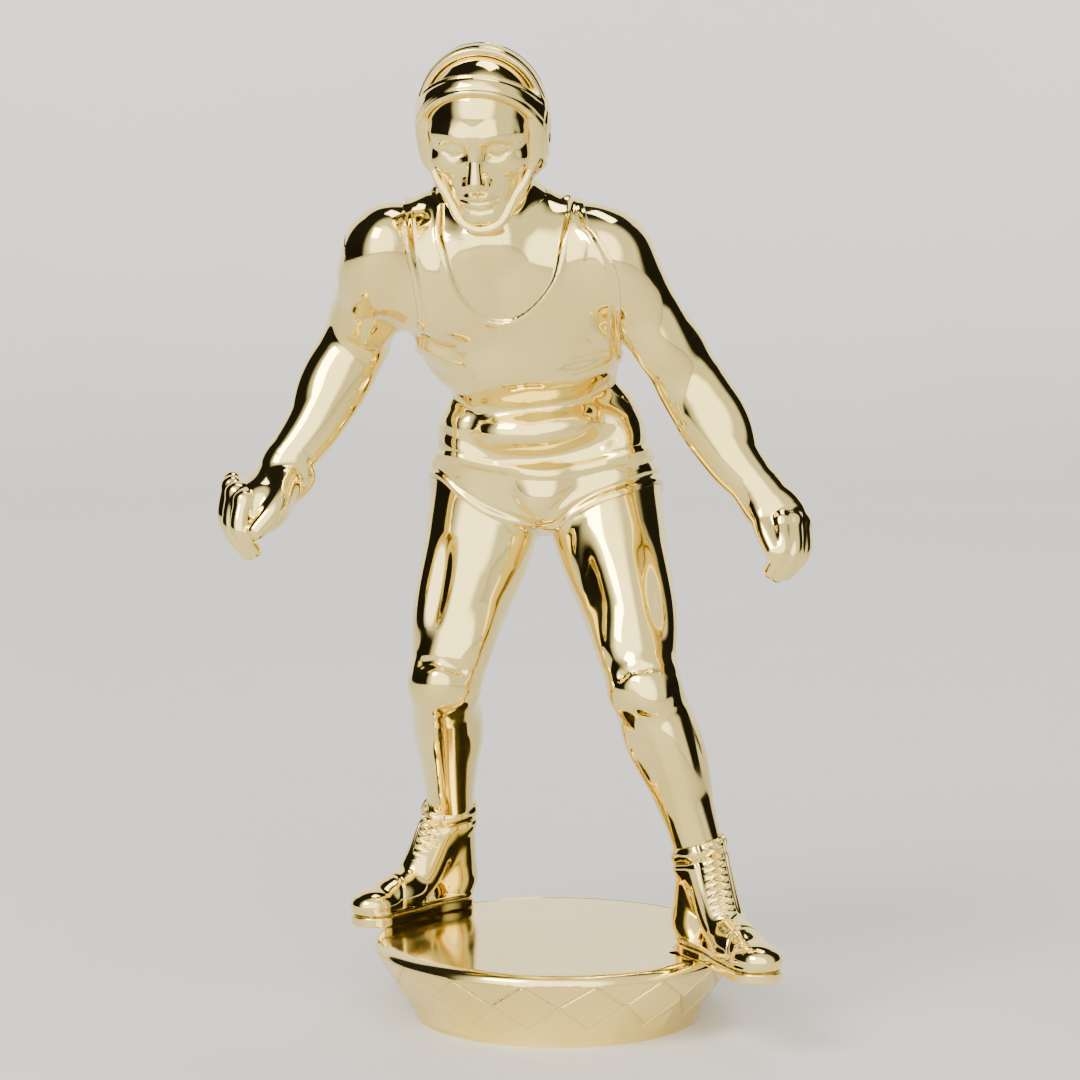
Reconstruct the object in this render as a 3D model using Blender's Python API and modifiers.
"""Figure trophy: a moulded wrestler in headgear, standing on a faceted plinth.

The figure is an assembly of plated plastic mouldings. Two torso shells close like a clam
round pegs on the head, the arms and the legs. The legs end in pegs that enter the boots,
and a pin under each boot passes through the plinth's top plate. The plinth is an open
shell with ribs, a boss and a steel nut for the trophy's rod.

All lengths below are in millimetres, in a frame whose Z axis is the plinth's axis and
whose zero is its underside. The figure faces -Y. The last step scales to metres and moves
the whole object so that its bounding box is centred over the origin.
"""

import math

import bmesh
import bpy
from mathutils import Matrix, Vector

MM = 0.001
GAP = 0.3                      # clearance that glued or resting mouldings keep
HALF_GAP = GAP / 2

# Plinth
PLINTH_HEIGHT = 11.0
PLINTH_RIM_RADIUS = 25.4       # two inches across
PLINTH_FOOT_RADIUS = 19.8
PLINTH_FACETS = 16
PLINTH_WALL = 1.5
BOSS_RADIUS = 8.4
BOSS_BOTTOM = 1.6
RIB_COUNT = 4
RIB_THICKNESS = 1.2
RIB_BOTTOM = 3.5

# Quarter-inch nut for the trophy's rod
NUT_ACROSS_FLATS = 11.1
NUT_THICKNESS = 5.6
NUT_BORE_RADIUS = 2.6          # the thread's core
RETAINER_RADIUS = 7.6
RETAINER_BORE_RADIUS = 3.4
RETAINER_THICKNESS = 1.0

# Pegs that hold the mouldings together
NECK_PEG_RADIUS = 2.6
SHOULDER_PEG_RADIUS = 2.2
HIP_PEG_RADIUS = 3.0
ANKLE_PEG_RADIUS = 1.6
SOLE_PIN_RADIUS = 0.8
STAKE_RADIUS = 1.3
SHELL_PIN_RADIUS = 0.9

# Boots and headgear
SOLE_THICKNESS = 1.3
SOLE_RADIUS = (3.2, 3.5)       # at the heel and at the toe
CUFF_RADIUS = 4.0
CUFF_WIDTH = 1.2
STRAP_WIDTH = 3.0
STRAP_THICKNESS = 0.8

# Body landmarks. "right" is the figure's own right hand, which is at -X.
PELVIS = Vector((-1.6, 3.5, 72.5))
NECK = Vector((-9.0, -11.5, 110.5))
HEAD = Vector((-9.8, -20.0, 122.0))
FACE_TILT = math.radians(28)   # how far the face looks down
FACE_TURN = math.radians(8)    # and to the figure's right
HIP = {"right": Vector((-9.6, 4.0, 71.5)), "left": Vector((6.4, 2.5, 71.5))}
KNEE = {"right": Vector((-15.4, -4.0, 46.8)), "left": Vector((11.6, -13.0, 47.6))}
CALF = {"right": Vector((-15.2, 4.5, 38.5)), "left": Vector((15.6, -11.6, 38.8))}
ANKLE = {"right": Vector((-15.0, 14.5, 25.5)), "left": Vector((19.2, -13.6, 25.0))}
HEEL = {"right": Vector((-14.9, 17.9, 15.2)), "left": Vector((18.9, -10.8, 15.2))}
TOE = {"right": Vector((-25.5, 6.6, 14.6)), "left": Vector((26.0, -26.4, 14.6))}
SOLE_PINS = {"right": ((-15.3, 15.1), (-18.6, 11.4)), "left": ((18.3, -9.0), (17.5, -12.4))}
SHOULDER = {"right": Vector((-22.6, -12.0, 105.0)), "left": Vector((6.4, -12.0, 104.6))}
ELBOW = {"right": Vector((-27.2, -2.0, 93.6)), "left": Vector((18.2, -8.0, 87.6))}
WRIST = {"right": Vector((-36.6, -8.0, 77.4)), "left": Vector((26.8, -14.0, 74.2))}
KNUCKLES = {"right": Vector((-41.0, -10.6, 72.6)), "left": Vector((30.6, -16.6, 68.6))}
FINGERS = {"right": Vector((-40.4, -12.0, 68.0)), "left": Vector((29.4, -18.4, 64.2))}

SIDES = {"right": -1, "left": 1}
SOLE_BOTTOM = PLINTH_HEIGHT + GAP


# ---------------------------------------------------------------- scene and materials

def clear_scene():
    for obj in list(bpy.data.objects):
        bpy.data.objects.remove(obj, do_unlink=True)


def new_collection(name, hidden=False):
    collection = bpy.data.collections.new(name)
    collection.hide_render = hidden
    bpy.context.scene.collection.children.link(collection)
    return collection


def plain_material(name, color, roughness, metallic):
    material = bpy.data.materials.new(name)
    material.use_nodes = True
    shader = material.node_tree.nodes["Principled BSDF"]
    shader.inputs["Base Color"].default_value = (*color, 1.0)
    shader.inputs["Roughness"].default_value = roughness
    shader.inputs["Metallic"].default_value = metallic
    return material


# ---------------------------------------------------------------- shape helpers

def turned_to(direction):
    """Rotation that takes +Z to the direction."""
    return Vector(direction).to_track_quat("Z", "Y").to_matrix().to_4x4()


def add_mass(bm, centre, radii, along=(0, 0, 1)):
    """Ellipsoid. Its third radius lies along the given direction."""
    matrix = Matrix.Translation(centre) @ turned_to(along) @ Matrix.Diagonal((*radii, 1.0))
    bmesh.ops.create_uvsphere(bm, u_segments=16, v_segments=10, radius=1.0, matrix=matrix)


def add_rod(bm, start, end, start_radius, end_radius=None, segments=24):
    """Cylinder or cone with flat ends."""
    start, end = Vector(start), Vector(end)
    along = end - start
    bmesh.ops.create_cone(
        bm, cap_ends=True, segments=segments,
        radius1=start_radius,
        radius2=start_radius if end_radius is None else end_radius,
        depth=along.length,
        matrix=Matrix.Translation((start + end) / 2) @ turned_to(along),
    )


def add_limb(bm, *stations):
    """Chain of (point, radius) stations joined by cones, with a ball at each."""
    for point, radius in stations:
        add_mass(bm, point, (radius,) * 3)
    for (start, start_radius), (end, end_radius) in zip(stations, stations[1:]):
        add_rod(bm, start, end, start_radius, end_radius, segments=20)


def mesh_object(name, bm, collection):
    """Object from a bmesh in millimetres. The bmesh is freed."""
    mesh = bpy.data.meshes.new(name)
    bm.to_mesh(mesh)
    bm.free()
    obj = bpy.data.objects.new(name, mesh)
    collection.objects.link(obj)
    return obj


def evaluated_copy(obj, name, collection):
    """New object that holds obj's mesh with its modifiers applied."""
    bpy.context.view_layer.update()
    graph = bpy.context.evaluated_depsgraph_get()
    mesh = bpy.data.meshes.new_from_object(obj.evaluated_get(graph))
    mesh.name = name
    copy = bpy.data.objects.new(name, mesh)
    copy.matrix_world = obj.matrix_world
    collection.objects.link(copy)
    return copy


def fused(name, bm, collection, voxel, smoothing, share):
    """One skin round every overlapping shape in bm, smoothed, then thinned to a share of its faces."""
    rough = mesh_object(name + "_rough", bm, collection)
    remesh = rough.modifiers.new("Fuse", "REMESH")
    remesh.mode = "VOXEL"
    remesh.voxel_size = voxel
    smooth = rough.modifiers.new("Smooth", "SMOOTH")
    smooth.factor = 0.5
    smooth.iterations = smoothing
    thin = rough.modifiers.new("Thin", "DECIMATE")
    thin.ratio = share
    skin = evaluated_copy(rough, name, collection)
    bpy.data.objects.remove(rough, do_unlink=True)
    return skin


def ring(bm, count, radius, height, turn=0.0, centre=(0, 0)):
    """Level circle of loose corners, for a hull."""
    for i in range(count):
        angle = 2 * math.pi * (i + turn) / count
        bm.verts.new((centre[0] + radius * math.cos(angle), centre[1] + radius * math.sin(angle), height))


def hull_object(name, bm, collection):
    """Convex solid round the bmesh's corners."""
    bmesh.ops.convex_hull(bm, input=bm.verts)
    loose = [vert for vert in bm.verts if not vert.link_faces]
    bmesh.ops.delete(bm, geom=loose, context="VERTS")
    bmesh.ops.recalc_face_normals(bm, faces=bm.faces)
    return mesh_object(name, bm, collection)


def prism(name, outline, low, high):
    """Closed prism between two depths on an outline of (x, z) points."""
    bm = bmesh.new()
    face = bm.faces.new([bm.verts.new((x, low, z)) for x, z in outline])
    grown = bmesh.ops.extrude_face_region(bm, geom=[face])["geom"]
    moved = [item for item in grown if isinstance(item, bmesh.types.BMVert)]
    bmesh.ops.translate(bm, verts=moved, vec=(0, high - low, 0))
    bmesh.ops.recalc_face_normals(bm, faces=bm.faces)
    return mesh_object(name, bm, cutters)


def block(name, face_centre, direction, size):
    """Cube of the given size that lies wholly on the far side of a plane, in a direction."""
    direction = Vector(direction).normalized()
    centre = Vector(face_centre) + direction * size / 2
    bm = bmesh.new()
    matrix = Matrix.Translation(centre) @ turned_to(direction)
    bmesh.ops.create_cube(bm, size=size, matrix=matrix)
    return mesh_object(name, bm, cutters)


def rod_object(name, start, end, radius, segments=24, end_radius=None):
    bm = bmesh.new()
    add_rod(bm, start, end, radius, end_radius, segments)
    return mesh_object(name, bm, cutters)


def combine(obj, other, operation):
    """Boolean with the EXACT solver, applied at once. The other object goes to the cutters."""
    other.hide_render = True
    other.display_type = "WIRE"
    modifier = obj.modifiers.new(operation.title(), "BOOLEAN")
    modifier.operation = operation
    modifier.object = other
    modifier.solver = "EXACT"
    made = evaluated_copy(obj, obj.name, obj.users_collection[0])
    name = obj.name
    bpy.data.objects.remove(obj, do_unlink=True)
    made.name = name
    return made


def copy_of(obj, name, collection):
    copy = bpy.data.objects.new(name, obj.data.copy())
    collection.objects.link(copy)
    return copy


def finish(obj, material, smooth_angle=40):
    obj.data.materials.clear()
    obj.data.materials.append(material)
    obj.data.shade_smooth()
    obj.data.set_sharp_from_angle(angle=math.radians(smooth_angle))
    return obj


# ---------------------------------------------------------------- plinth

def faceted_solid(name, inset, collection):
    """The plinth's outer form, or its cavity if inset: a hull round staggered rings of corners."""
    bm = bmesh.new()
    top = PLINTH_HEIGHT - inset
    ring(bm, PLINTH_FACETS * 3, PLINTH_RIM_RADIUS - inset - 0.5, top)
    ring(bm, PLINTH_FACETS * 3, PLINTH_RIM_RADIUS - inset, top - 0.5)
    ring(bm, PLINTH_FACETS, PLINTH_RIM_RADIUS - inset, top - 1.4, 0.5)
    ring(bm, PLINTH_FACETS, PLINTH_RIM_RADIUS - inset - 1.9, top - 4.8)
    ring(bm, PLINTH_FACETS, PLINTH_FOOT_RADIUS - inset + 1.0, 2.4, 0.5)
    ring(bm, PLINTH_FACETS * 2, PLINTH_FOOT_RADIUS - inset, 1.6)
    ring(bm, PLINTH_FACETS * 2, PLINTH_FOOT_RADIUS - inset, -1.0 if inset else 0.0)
    return hull_object(name, bm, collection)


def sole_axis(side):
    """Unit vector from heel to toe, level with the plinth."""
    along = TOE[side] - HEEL[side]
    along.z = 0
    return along.normalized()


def plinth_rib(index, top):
    """Upright rib from the boss into the tapering wall."""
    turn = Matrix.Rotation(2 * math.pi * index / RIB_COUNT, 4, "Z")
    start = BOSS_RADIUS - 0.6
    middle = ((PLINTH_RIM_RADIUS + start) / 2, 0, (RIB_BOTTOM + top) / 2)
    size = (PLINTH_RIM_RADIUS - start, RIB_THICKNESS, top - RIB_BOTTOM)
    bm = bmesh.new()
    bmesh.ops.create_cube(
        bm, size=1.0, matrix=turn @ Matrix.Translation(middle) @ Matrix.Diagonal((*size, 1)))
    bar = mesh_object("rib_%d" % index, bm, cutters)
    return combine(bar, faceted_solid("rib_limit", PLINTH_WALL / 2, cutters), "INTERSECT")


def make_plinth(material):
    plinth = faceted_solid("plinth_shell", 0.0, parts)
    plinth = combine(plinth, faceted_solid("plinth_cavity", PLINTH_WALL, cutters), "DIFFERENCE")
    plate_underside = PLINTH_HEIGHT - PLINTH_WALL + 0.4
    boss = rod_object("boss", (0, 0, BOSS_BOTTOM), (0, 0, plate_underside), BOSS_RADIUS, 36)
    plinth = combine(plinth, boss, "UNION")
    for i in range(RIB_COUNT):
        plinth = combine(plinth, plinth_rib(i, plate_underside), "UNION")
    pocket_radius = (NUT_ACROSS_FLATS / 2 + GAP) / math.cos(math.pi / 6)
    pocket_top = BOSS_BOTTOM + NUT_THICKNESS + 2 * GAP
    pocket = rod_object("nut_pocket", (0, 0, BOSS_BOTTOM - 1), (0, 0, pocket_top), pocket_radius, 6)
    plinth = combine(plinth, pocket, "DIFFERENCE")
    for side in SIDES:
        for x, y in SOLE_PINS[side]:
            low = (x, y, PLINTH_HEIGHT - PLINTH_WALL - 1)
            hole = rod_object("pin_hole", low, (x, y, PLINTH_HEIGHT + 1), SOLE_PIN_RADIUS + GAP, 20)
            plinth = combine(plinth, hole, "DIFFERENCE")
    return finish(plinth, material, smooth_angle=3)


def make_nut(material):
    low = BOSS_BOTTOM + GAP
    corner_radius = NUT_ACROSS_FLATS / 2 / math.cos(math.pi / 6)
    nut = copy_of(rod_object("nut_blank", (0, 0, low), (0, 0, low + NUT_THICKNESS),
                             corner_radius, 6), "hex_nut", parts)
    bore = rod_object("nut_bore", (0, 0, low - 1), (0, 0, low + NUT_THICKNESS + 1),
                      NUT_BORE_RADIUS, 24)
    return finish(combine(nut, bore, "DIFFERENCE"), material)


def make_retainer(material):
    """Ring glued to the boss's end so that the nut can't drop out."""
    high = BOSS_BOTTOM - GAP
    low = high - RETAINER_THICKNESS
    disc = copy_of(rod_object("retainer_blank", (0, 0, low), (0, 0, high), RETAINER_RADIUS, 32),
                   "nut_retainer", parts)
    bore = rod_object("retainer_bore", (0, 0, low - 1), (0, 0, high + 1), RETAINER_BORE_RADIUS, 24)
    return finish(combine(disc, bore, "DIFFERENCE"), material)


# ---------------------------------------------------------------- the sculpted body

def head_frame():
    """(right-to-left, forward, up) unit vectors of the head."""
    turn = Matrix.Rotation(-FACE_TURN, 3, "Z")
    forward = turn @ Vector((0, -math.cos(FACE_TILT), -math.sin(FACE_TILT)))
    up = turn @ Vector((0, -math.sin(FACE_TILT), math.cos(FACE_TILT)))
    across = forward.cross(up)
    return -across, forward, up


def head_point(across, forward, up):
    """A place on the head, in millimetres from its centre along its own three directions."""
    side_axis, forward_axis, up_axis = head_frame()
    return HEAD + side_axis * across + forward_axis * forward + up_axis * up


def add_head(bm, extra=0.0):
    """Skull, jaw and neck. Extra grows them all, for the headgear's clearance."""
    _, _, up = head_frame()
    add_mass(bm, head_point(0, -1.2, 2.6), (7.4 + extra, 9.0 + extra, 8.2 + extra), up)
    add_mass(bm, head_point(0, 2.4, -3.4), (5.7 + extra, 5.4 + extra, 7.4 + extra), up)
    add_limb(bm, (head_point(0, 7.6, 0.6), 0.9 + extra), (head_point(0, 8.8, -3.0), 1.3 + extra))
    add_mass(bm, head_point(0, 5.6, -8.2), (2.6 + extra, 2.0 + extra, 1.9 + extra), up)
    add_limb(bm, (NECK, 6.6 + extra), (head_point(0, -2.6, -6.0), 5.6 + extra))


def add_torso(bm):
    spine = NECK - PELVIS
    add_mass(bm, PELVIS + Vector((0, 0, 1.0)), (15.2, 9.0, 8.6))
    add_mass(bm, (-2.0, 0.8, 80.5), (14.2, 8.8, 8.5), spine)
    add_mass(bm, (-3.6, -2.6, 88.0), (13.6, 8.6, 9.0), spine)
    add_mass(bm, (-6.4, -7.2, 97.5), (14.8, 9.8, 12.0), spine)
    add_mass(bm, (-7.8, -6.0, 104.5), (16.2, 7.6, 7.0), spine)
    for side, sign in SIDES.items():
        add_mass(bm, HIP[side] + Vector((0.4 * sign, 5.0, -0.5)), (7.6, 6.6, 7.8))
        add_mass(bm, (-7.8 + 6.6 * sign, -14.2, 101.2), (7.4, 4.4, 5.4), spine)
        add_mass(bm, (-6.6 + 9.8 * sign, -4.2, 97.0), (5.2, 7.4, 10.0), spine)
        add_limb(bm, (NECK + Vector((0, 0.8, 0.0)), 5.6),
                 (SHOULDER[side] + Vector((-1.6 * sign, 1.2, 1.8)), 4.6))


def add_arm(bm, side):
    sign = SIDES[side]
    shoulder, elbow, wrist = SHOULDER[side], ELBOW[side], WRIST[side]
    add_mass(bm, shoulder, (6.5, 6.6, 7.4), elbow - shoulder)
    add_limb(bm, (shoulder, 5.6), (shoulder.lerp(elbow, 0.5), 4.9), (elbow, 4.4))
    belly = elbow.lerp(wrist, 0.25) + Vector((0.2 * sign, 0, 0))
    narrow = elbow.lerp(wrist, 0.7) - Vector((0.8 * sign, 0, 0))
    add_limb(bm, (elbow, 4.4), (belly, 4.9), (narrow, 3.9), (wrist, 3.1))
    add_limb(bm, (wrist, 3.1), (wrist.lerp(KNUCKLES[side], 0.55), 3.5), (KNUCKLES[side], 3.2),
             (FINGERS[side], 2.6))


def add_leg(bm, side):
    hip, knee, calf, ankle = HIP[side], KNEE[side], CALF[side], ANKLE[side]
    add_limb(bm, (hip, 8.2), (hip.lerp(knee, 0.5), 6.7), (knee + Vector((0, 0.8, 0)), 5.1))
    add_limb(bm, (knee + Vector((0, 0.8, 0)), 5.0), (calf, 5.2), (calf.lerp(ankle, 0.6), 4.1),
             (ankle, 3.3))
    add_mass(bm, calf + Vector((0, 1.0, 1.5)), (5.5, 5.2, 7.5), ankle - knee)


def add_boot(bm, side):
    heel, toe, ankle = HEEL[side], TOE[side], ANKLE[side]
    along = sole_axis(side)
    instep = heel.lerp(toe, 0.48) + Vector((0, 0, 2.2))
    add_limb(bm, (ankle, 3.5), (heel + Vector((0, 0, 0.6)), 3.7))
    add_limb(bm, (ankle + along * 1.0, 3.4), (instep, 3.5), (toe, 2.9))
    add_limb(bm, (heel, 3.7), (heel.lerp(toe, 0.6), 3.5), (toe, 3.0))


def sculpt_body():
    bm = bmesh.new()
    add_torso(bm)
    add_head(bm)
    for side in SIDES:
        add_arm(bm, side)
        add_leg(bm, side)
        add_boot(bm, side)
    return fused("body", bm, cutters, voxel=0.8, smoothing=5, share=0.1)


# ---------------------------------------------------------------- where the body is parted

CROTCH = (-1.7, 67.4)
ARM_LINE = {
    "right": ((-19.0, 120.0), (-23.2, 62.0), (-30.0, 55.0)),
    "left": ((0.8, 120.0), (21.0, 62.0), (24.0, 55.0)),
}
LEG_LINE = {
    "right": ((-24.0, 81.3), (-28.0, 60.0)),
    "left": ((17.0, 78.3), (20.0, 70.0), (22.0, 55.0), (30.0, 45.0)),
}
NECK_PLANE = (Vector((-9.4, -15.0, 112.2)), Vector((0, -0.5, 0.87)))
BOOT_PLANE = {
    "right": (Vector((-15.0, 13.6, 27.2)), Vector((0.0, 0.35, -0.94))),
    "left": (Vector((18.7, -13.6, 27.0)), Vector((0.30, 0.0, -0.95))),
}
PARTING_POINT = Vector((-5.0, -4.6, 92.0))
PARTING_NORMAL = Vector((0, -0.94, -0.34))   # towards the figure's front
SHELL_PINS = ((-1.0, 75.0), (-8.0, 104.6))    # (x, z) of the pins between the torso shells
TORSO_POCKETS = (((-6.4, -5.6, 96.6), (4.2, 5.0, 5.8)), ((-3.2, -1.2, 85.0), (4.4, 5.0, 4.6)))
TORSO_POCKET_SPREAD = 5.2


def arm_region(side, gap):
    sign = SIDES[side]
    inner = [(x + gap * sign, z) for x, z in ARM_LINE[side]]
    outer_x = 60 * sign
    outline = [*inner, (outer_x, inner[-1][1]), (outer_x, inner[0][1])]
    return prism("arm_region_" + side, outline, -60, 60)


def leg_region(side, gap, low_z=15.0):
    sign = SIDES[side]
    crotch_x, crotch_z = CROTCH
    inner_x = crotch_x + gap * sign
    outer = [(x, z - gap) for x, z in LEG_LINE[side]]
    outline = [(inner_x, crotch_z - gap), *outer, (outer[-1][0], low_z), (inner_x, low_z)]
    return prism("leg_region_" + side, outline, -60, 60)


def head_region(gap):
    point, normal = NECK_PLANE
    return block("head_region", point + normal * gap, normal, 40)


def boot_region(side, gap):
    point, normal = BOOT_PLANE[side]
    return block("boot_region_" + side, point + normal * gap, normal, 34)


def add_peg(obj, start, end, radius):
    """Joins a peg to a moulding. The start lies inside it."""
    return combine(obj, rod_object(obj.name + "_peg", start, end, radius), "UNION")


def cut_socket(obj, start, end, radius):
    """Opens a blind hole for a peg, with clearance all round and at its end."""
    along = (Vector(end) - Vector(start)).normalized()
    hole = rod_object("socket", start, Vector(end) + along * GAP, radius + GAP)
    return combine(obj, hole, "DIFFERENCE")


def neck_peg():
    point, normal = NECK_PLANE
    return point + normal * 3, point - normal * 4.5


def shoulder_peg(side):
    shoulder, elbow = SHOULDER[side], ELBOW[side]
    inward = Vector((-SIDES[side], 0.15, -0.1)).normalized()
    start = shoulder + Vector((0.8 * SIDES[side], 0.8, -0.5))
    return start, start + inward * 7.6


def hip_peg(side):
    hip = HIP[side]
    inward = Vector((0.18 * -SIDES[side], -0.05, 1.0)).normalized()
    start = hip - inward * 4.0 + Vector((0.6 * SIDES[side], -0.5, 0))
    return start, start + inward * 9.0


def ankle_peg(side):
    point, normal = BOOT_PLANE[side]
    return point - normal * 3, point + normal * 4.5


def make_limbs(body, material):
    """Arms and legs, each cut from the body and given its peg."""
    made = []
    for side in SIDES:
        arm = combine(copy_of(body, side + "_arm", parts), arm_region(side, HALF_GAP), "INTERSECT")
        arm = add_peg(arm, *shoulder_peg(side), SHOULDER_PEG_RADIUS)
        leg = combine(copy_of(body, side + "_leg", parts), leg_region(side, HALF_GAP), "INTERSECT")
        leg = combine(leg, boot_region(side, -HALF_GAP), "DIFFERENCE")
        leg = add_peg(leg, *hip_peg(side), HIP_PEG_RADIUS)
        leg = add_peg(leg, *ankle_peg(side), ANKLE_PEG_RADIUS)
        made += [arm, leg]
    return [finish(obj, material) for obj in made]


def sole(side):
    """Flat sole: a hull round a small heel circle and a larger toe circle."""
    bm = bmesh.new()
    for place, radius in zip((HEEL[side], TOE[side]), SOLE_RADIUS):
        for height in (SOLE_BOTTOM, SOLE_BOTTOM + SOLE_THICKNESS):
            ring(bm, 28, radius, height, centre=(place.x, place.y))
    return hull_object("sole_" + side, bm, cutters)


def make_boots(body, material):
    plate_underside = PLINTH_HEIGHT - PLINTH_WALL
    for side in SIDES:
        boot = combine(copy_of(body, side + "_boot", parts), boot_region(side, HALF_GAP), "INTERSECT")
        trim_height = SOLE_BOTTOM + SOLE_THICKNESS / 2
        trim = block("sole_trim", (HEEL[side].x, HEEL[side].y, trim_height), (0, 0, -1), 90)
        boot = combine(boot, trim, "DIFFERENCE")
        boot = combine(boot, sole(side), "UNION")
        point, normal = BOOT_PLANE[side]
        cuff_top = point + normal * HALF_GAP
        boot = combine(boot, rod_object("cuff", cuff_top, cuff_top + normal * CUFF_WIDTH,
                                        CUFF_RADIUS, 28), "UNION")
        boot = cut_socket(boot, *ankle_peg(side), ANKLE_PEG_RADIUS)
        for x, y in SOLE_PINS[side]:
            stake_top = (x, y, plate_underside - GAP)
            boot = add_peg(boot, (x, y, SOLE_BOTTOM + 1.0), (x, y, stake_top[2] - 0.4),
                           SOLE_PIN_RADIUS)
            stake = rod_object("stake", stake_top, (x, y, stake_top[2] - 0.8), STAKE_RADIUS,
                               end_radius=STAKE_RADIUS * 0.7)
            boot = combine(boot, stake, "UNION")
        finish(boot, material)


def make_head(body, material):
    head = combine(copy_of(body, "head", parts), head_region(HALF_GAP), "INTERSECT")
    head = add_peg(head, *neck_peg(), NECK_PEG_RADIUS)
    return finish(head, material)


def hollow_out(torso):
    """Pockets that keep the walls even. A web between left and right carries the load."""
    spine = NECK - PELVIS
    for centre, radii in TORSO_POCKETS:
        for sign in SIDES.values():
            bm = bmesh.new()
            add_mass(bm, Vector(centre) + Vector((TORSO_POCKET_SPREAD * sign, 0, 0)), radii, spine)
            torso = combine(torso, mesh_object("pocket", bm, cutters), "DIFFERENCE")
    return torso


def make_torso(body, material):
    """Front and back shells, parted on a plane that leans with the spine."""
    torso = copy_of(body, "torso", cutters)
    torso = combine(torso, head_region(-HALF_GAP), "DIFFERENCE")
    for side in SIDES:
        torso = combine(torso, arm_region(side, -HALF_GAP), "DIFFERENCE")
        torso = combine(torso, leg_region(side, -HALF_GAP, low_z=5.0), "DIFFERENCE")
        torso = cut_socket(torso, *shoulder_peg(side), SHOULDER_PEG_RADIUS)
        torso = cut_socket(torso, *hip_peg(side), HIP_PEG_RADIUS)
    torso = cut_socket(torso, *neck_peg(), NECK_PEG_RADIUS)
    torso = hollow_out(torso)
    shells = {}
    for name, facing in (("torso_front_shell", 1), ("torso_back_shell", -1)):
        normal = PARTING_NORMAL * facing
        half = block(name + "_half", PARTING_POINT + normal * HALF_GAP, normal, 90)
        shells[facing] = combine(copy_of(torso, name, parts), half, "INTERSECT")
    for x, z in SHELL_PINS:
        y = PARTING_POINT.y - (z - PARTING_POINT.z) * PARTING_NORMAL.z / PARTING_NORMAL.y
        start = Vector((x, y, z)) + PARTING_NORMAL * 2.0
        end = Vector((x, y, z)) - PARTING_NORMAL * 2.0
        shells[1] = add_peg(shells[1], start, end, SHELL_PIN_RADIUS)
        shells[-1] = cut_socket(shells[-1], start, end, SHELL_PIN_RADIUS)
    bpy.data.objects.remove(torso, do_unlink=True)
    return [finish(shell, material) for shell in shells.values()]


# ---------------------------------------------------------------- headgear

EAR = (-0.6, -0.4)             # forward and up from the head's centre
STRAP_LEANS = {"crown": -10, "brow": 31, "back": -75, "chin": 148}   # degrees forward of straight up


def strap_slab(name):
    """Slab through both ears that leans forwards by the strap's angle."""
    lean = math.radians(STRAP_LEANS[name])
    side_axis, forward, up = head_frame()
    outward = forward * math.sin(lean) + up * math.cos(lean)
    length = 18.0
    centre = head_point(0, *EAR) + outward * (length / 2 - 2.0)
    turn = Matrix((side_axis, outward, side_axis.cross(outward))).transposed().to_4x4()
    bm = bmesh.new()
    size = Matrix.Diagonal((30.0, length, STRAP_WIDTH, 1.0))
    bmesh.ops.create_cube(bm, size=1.0, matrix=Matrix.Translation(centre) @ turn @ size)
    return mesh_object("slab_" + name, bm, cutters)


def head_offset(name, extra):
    bm = bmesh.new()
    add_head(bm, extra)
    return fused(name, bm, cutters, voxel=0.7, smoothing=3, share=0.12)


def make_headgear(material):
    """Ear guards, with straps over the crown, the forehead and the back of the head and under the chin."""
    grown = head_offset("head_grown", GAP + STRAP_THICKNESS)
    _, _, up = head_frame()
    guards = bmesh.new()
    for sign in SIDES.values():
        add_mass(guards, head_point(6.5 * sign, *EAR), (2.6, 4.2, 5.4), up)
    headgear = copy_of(mesh_object("ear_guards", guards, cutters), "headgear", parts)
    for name in STRAP_LEANS:
        strap = combine(copy_of(grown, "strap_" + name, cutters), strap_slab(name), "INTERSECT")
        headgear = combine(headgear, strap, "UNION")
    clearance = head_offset("head_clearance", GAP)
    return finish(combine(headgear, clearance, "DIFFERENCE"), material)


# ---------------------------------------------------------------- assembly

def to_row_frame():
    """Scales every part to metres and centres the whole over the origin, standing on z = 0."""
    corners = [vert.co for obj in parts.objects for vert in obj.data.vertices]
    low = Vector([min(corner[i] for corner in corners) for i in range(3)])
    high = Vector([max(corner[i] for corner in corners) for i in range(3)])
    middle = (low + high) / 2
    shift = Matrix.Translation((-middle.x, -middle.y, -low.z))
    for obj in parts.objects:
        obj.data.transform(Matrix.Scale(MM, 4) @ shift)
    print("plinth axis in the row frame, mm: %.3f %.3f" % (-middle.x, -middle.y))


clear_scene()
parts = new_collection("figure_trophy")
cutters = new_collection("cutters", hidden=True)
gold = plain_material("gold_plated_plastic", (0.83, 0.66, 0.30), 0.08, 1.0)
steel = plain_material("zinc_plated_steel", (0.62, 0.63, 0.64), 0.35, 1.0)
white = plain_material("white_plastic", (0.82, 0.81, 0.77), 0.45, 0.0)

make_plinth(gold)
make_nut(steel)
make_retainer(white)
whole_body = sculpt_body()
make_boots(whole_body, gold)
make_limbs(whole_body, gold)
make_torso(whole_body, gold)
make_head(whole_body, gold)
make_headgear(gold)
to_row_frame()
